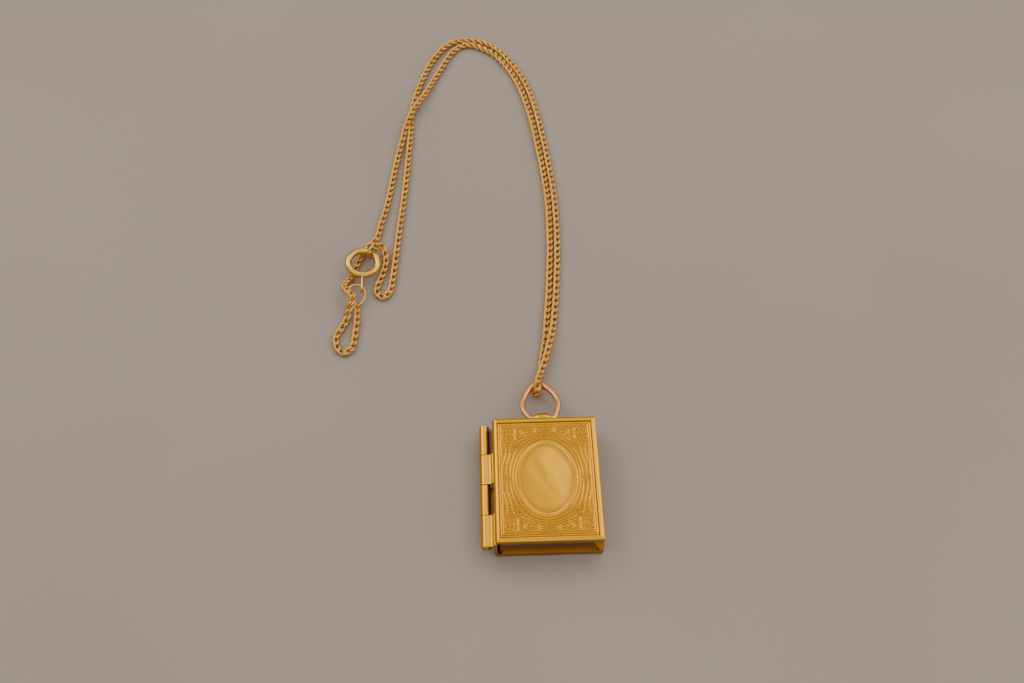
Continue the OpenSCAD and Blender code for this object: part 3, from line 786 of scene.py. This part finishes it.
# %% The clasp's own frame
clasp_at = np.array([-35.1, 52.6, 2.15])
clasp_turn, clasp_lean = math.radians(60), math.radians(6)
ring_r, tube_r, tube_in, bolt_r, small_wire = 3.0, 0.7, 0.45, 0.4, 0.24
tube_cols = 48
axis_x, axis_y = math.cos(clasp_turn), math.sin(clasp_turn)
c, s = math.cos(clasp_lean), math.sin(clasp_lean)
lean = np.array([[c + axis_x**2 * (1 - c), axis_x * axis_y * (1 - c), axis_y * s],
                 [axis_x * axis_y * (1 - c), c + axis_y**2 * (1 - c), -axis_x * s],
                 [-axis_y * s, axis_x * s, c]])


def at_clasp(part):
    """Leans a part drawn around the origin and moves it to where the clasp lies."""
    points, faces = part
    return points @ lean.T + clasp_at, faces


def torus(angles, r, tube):
    """Rings around a circle of radius r, one for each angle, with the tube's own angles as columns
    that start on the outer side."""
    a, b = np.meshgrid(angles, np.linspace(0, 2 * np.pi, tube_cols, endpoint=False), indexing="ij")
    out = r + tube * np.cos(b)
    return np.stack([out * np.cos(a), out * np.sin(a), tube * np.sin(b)], axis=-1)


# %% The slotted tube
tube_from, tube_to = 74, 396
slot_from, slot_to, slot_half = 78, 130, 3
tube_angles = np.radians(np.linspace(tube_from, tube_to, 162))
skins = [torus(tube_angles, ring_r, r) for r in (tube_r, tube_in)]
mid = np.degrees((tube_angles[:-1] + tube_angles[1:]) / 2)[:, None]
column = np.arange(tube_cols)[None, :]
outermost = (column < slot_half) | (column >= tube_cols - slot_half)
kept = ~((mid > slot_from) & (mid < slot_to) & outermost)
skin_points = np.concatenate([skin.reshape(-1, 3) for skin in skins])
inner_at = skins[0].shape[0] * tube_cols
quads = grid(skins[0], wrap_cols=True)[1][kept.ravel()]
edges = np.sort(quads[:, [[0, 1], [1, 2], [2, 3], [3, 0]]].reshape(-1, 2), axis=1)
edge, times = np.unique(edges, axis=0, return_counts=True)
edge = edge[times == 1]
cut_edge = np.column_stack([edge, edge[:, ::-1] + inner_at])
tube_part = (skin_points, np.concatenate([quads, quads[:, ::-1] + inner_at, cut_edge]))

# %% The upright eye on the tube
loop_angle = np.linspace(0, 2 * np.pi, 64, endpoint=False)
loop_half = 0.6
near_y, far_y = -3.55 - loop_half, -7.3 + small_wire + loop_half
loop_y = np.where(np.cos(loop_angle) > 0, near_y, far_y) + loop_half * np.cos(loop_angle)
loop = np.stack([0 * loop_angle, loop_y, loop_half * np.sin(loop_angle)], axis=1)
eye_loop = sweep(loop, small_wire, 14, (1, 0, 0), closed=True)
make_piece("clasp_ring_tube", [at_clasp(tube_part), at_clasp(eye_loop)], "clasp_ring", "back",
           clasp_gold)

# %% The bolt and its lever
bolt_from, bolt_to, bolt_steps = 31, 104, 60
bolt_angles = np.radians(np.linspace(bolt_from, bolt_to, bolt_steps))
bolt_line = np.stack([ring_r * np.cos(bolt_angles), ring_r * np.sin(bolt_angles), 0 * bolt_angles],
                     axis=1)
steps_in = np.minimum(np.arange(bolt_steps), np.arange(bolt_steps)[::-1])
from_end = steps_in * ring_r * np.radians((bolt_to - bolt_from) / (bolt_steps - 1))
bolt_width = bolt_r * np.sqrt(np.clip(1 - np.clip(1 - from_end / bolt_r, 0, 1)**2, 0.02, 1))
knob_at, knob_r, stem_long, stem_r = 1.6, 0.4, 1.5, 0.19
lever_out = np.linspace(0, knob_at + knob_r, 40)
knob = np.sqrt(np.clip(knob_r**2 - (lever_out - knob_at)**2, 0, None))
stem = np.where(lever_out < stem_long, stem_r, 0)
lever = turned(np.column_stack([lever_out, np.maximum(knob, stem)]), (0, 0, 0), axis=0, sides=20,
               closed=False)
lever_at = math.radians(83)
turn = np.array([[math.cos(lever_at), -math.sin(lever_at), 0],
                 [math.sin(lever_at), math.cos(lever_at), 0], [0, 0, 1]])
lever = ((lever[0] + [ring_r, 0, 0]) @ turn.T, lever[1])
bolt = sweep(bolt_line, bolt_width, 20, (0, 0, 1))
make_piece("clasp_bolt_turned", [at_clasp(bolt), at_clasp(lever)], "clasp_bolt", "bolt",
           clasp_gold)

# %% The two small rings
turn_round = np.linspace(0, 2 * np.pi, 72, endpoint=False)
jump_x, jump_y, jump_half_x, jump_half_y, jump_low, jump_slope = -36.3, 45, 1.85, 2.1, 0.6, 0.34
oval_ring = np.stack([jump_x + jump_half_x * np.cos(turn_round),
                      jump_y + jump_half_y * np.sin(turn_round),
                      jump_low + jump_slope * jump_half_y * (1 + np.sin(turn_round))], axis=1)
jump_part = sweep(oval_ring, small_wire, 14, (0, 0, 1), closed=True)
make_piece("jump_ring_wire", [jump_part], "jump_ring", "back", clasp_gold)
hook, end_at, end_r = math.radians(58), np.array([-33.3, 55.5, 2.25]), 1.5
out_way, dip_way = np.array([math.cos(hook), math.sin(hook), 0]), np.array([0, 0, -1.0])
end_way = np.cos(turn_round)[:, None] * out_way + np.sin(turn_round)[:, None] * dip_way
end_part = sweep(end_at + end_r * end_way, small_wire, 14, np.cross(out_way, dip_way), closed=True)
make_piece("end_ring_wire", [end_part], "end_ring", "back", clasp_gold)

# %% [markdown]
# ## The curb chain
# A curb chain is made of equal oval links that are twisted until the chain lies flat. Seen from
# above, a link's wire follows an ellipse and also rises and falls twice on the way round, so that
# each link passes over one side of the next and under its other side. Only one link is worked out.
# Its copies are then placed by array arithmetic along a spline, each turned to the line between its
# two joints, and lifted where it would sink into the table.

# %% Where the chain runs
# Each pin is x, y and a height. A pin with no height lies on the table.
lie = 0.52
outer_pins = [
    (-0.75, 20.4, 2.75), (-0.7, 21.4, 3.2), (-0.6, 22.3, 3.15), (-0.2, 23.6, 2.6), (0.4, 25.6, 1.9),
    (1.2, 28.1, 1.6), (2, 31.1, 1.5), (2.7, 34.1, 1.3), (3.3, 37.6, 0.8), (3.8, 41.6), (4.3, 46.6),
    (4.8, 52.6), (5.2, 64.6), (4.7, 76.6), (3.5, 88.1), (2, 98.6), (0.9, 103.6), (-0.8, 108.6),
    (-3, 113.1), (-5.7, 117.1), (-9.3, 120), (-13.4, 121), (-17.2, 119.8), (-20, 116.4), (-22.3, 111.7),
    (-24, 106.6), (-25.2, 101.6), (-26, 96.6), (-26.1, 91.6), (-26.3, 86.6), (-27.1, 72.6),
    (-28.3, 58.6), (-28.8, 51.6), (-29, 49.6), (-29.2, 47.7), (-29.7, 45.7), (-30.9, 44.7), (-32, 45.4),
    (-32.2, 46.9), (-31.8, 48.5), (-31.2, 50.4), (-30.8, 52.1), (-30.5, 53.8), (-30.6, 55.3, 0.7),
    (-31, 56.6, 1.2), (-31.7, 57.5, 1.8), (-32.65, 56.55, 2.25)]
inner_pins = [
    (-1.1, 20.5, 1.05), (-1.05, 21.5, 0.6), (-0.8, 22.4), (-0.1, 24.6), (0.5, 28.1), (1.1, 31.6),
    (1.6, 35.1), (2, 39.1), (2.5, 43.6), (3, 49.6), (3.6, 61.6), (3.4, 73.6), (2.2, 85.6), (0.5, 97.6),
    (-0.7, 103), (-2.3, 107.9), (-4.4, 112.2), (-7, 115.9), (-10.1, 118.3), (-13.3, 119.3),
    (-15.8, 117.8), (-17.9, 114.4), (-19.6, 110.5, 0.6), (-21.4, 106.3, 0.8), (-23, 102.2, 1.2),
    (-24.8, 98.4, 1.65), (-26.2, 94.9, 1.7), (-27.3, 90.9, 1.5), (-28.2, 86.6, 0.9), (-28.9, 82.6),
    (-29.6, 77.6), (-31.3, 66.6), (-32.2, 62.1), (-32.9, 59.6), (-33.8, 58.6), (-34.5, 57.4),
    (-35.3, 56), (-36, 54.7), (-36.5, 53.3), (-37, 51.5), (-37.7, 49.7), (-38.5, 48.3, 1.1),
    (-38.7, 46.7, 2.1), (-37.9, 45.1, 2.8), (-36.9, 44, 3), (-36.6, 42.8, 2.8), (-37.2, 41.8, 2.3),
    (-37.6, 41, 1.6), (-37.8, 40.2, 0.9), (-38.3, 38.7), (-39, 37), (-39.9, 35.4), (-39.7, 33.2),
    (-38.5, 31.4), (-37.2, 31.6), (-36.3, 33.8), (-36.1, 36.4), (-35.9, 38.8), (-36, 41.1, 0.55),
    (-36.25, 43.15, 0.68)]
fold = [(-0.95, 20, 1.9)]
route = [(*p, lie)[:3] for p in outer_pins[::-1] + fold + inner_pins]
pitch = 1.6
joints = spaced(spline(route), pitch)
fold_joint = int(np.argmin(np.linalg.norm(joints - fold[0], axis=1)))
print(len(joints) - 1, "links,", round((len(joints) - 1) * pitch), "mm of chain")

# %% One link
link_wire = 0.29
link_long, link_wide, link_twist = pitch / 2 + link_wire + 0.01, 0.47, 0.33
t = np.linspace(0, 2 * np.pi, 14, endpoint=False)
link_line = np.stack([link_long * np.cos(t), link_wide * np.sin(t), link_twist * np.sin(2 * t)], axis=1)
link_points, link_faces = sweep(link_line, link_wire, 6, (0, 0, 1), closed=True)
print("one link:", len(link_faces), "faces")


# %% Place the links
def ring_roll(run, side, up, ring_way, backward):
    """How far the last link rolls so that its end stands across the ring's wire. The twist already
    turns a link's end by its own slope, one way in front and the other way behind."""
    slope = math.atan2(2 * link_twist, link_wide)
    wanted = math.atan2(ring_way @ up, ring_way @ side) - math.pi / 2
    roll = wanted + slope if backward else wanted - slope
    return (roll + math.pi / 2) % math.pi - math.pi / 2


# Two slow waves along the chain roll its links a little. Over the last few links at both ends the
# roll changes to the one that suits the ring there.
nearly_up, ring_reach, clear_of_table = (0.25, 0, 1), 5, 0.01
ahead = unit(np.diff(joints, axis=0))
side_way = unit(np.cross(nearly_up, ahead))
up_way = np.cross(ahead, side_way)
number = np.arange(len(ahead))
roll = 0.16 * np.sin(number * 0.37) + 0.12 * np.sin(number * 0.83 + 1)
for k, ring_way, backward in ((0, dip_way, True), (-1, np.array([1.0, 0.2, 0]), False)):
    fade = np.clip(1 - np.abs(number - number[k]) / ring_reach, 0, 1)
    roll += fade * (ring_roll(ahead[k], side_way[k], up_way[k], ring_way, backward) - roll[k])
cr, sr = np.cos(roll)[:, None], np.sin(roll)[:, None]
across, lift = cr * side_way + sr * up_way, cr * up_way - sr * side_way
middle = (joints[:-1] + joints[1:]) / 2
axes = np.stack([ahead, across, lift], axis=1)
links = middle[:, None] + link_points @ axes
links[..., 2] += np.clip(clear_of_table - links[..., 2].min(axis=1), 0, None)[:, None]
chain_parts = {"outer": links[:fold_joint], "inner": links[fold_joint:]}
for label, some in chain_parts.items():
    faces = (link_faces + np.arange(len(some))[:, None, None] * len(link_points)).reshape(-1, 4)
    make_piece(f"chain_{label}_links", [(some.reshape(-1, 3), faces)], f"chain_{label}", "back",
               chain_gold, sharp=80)
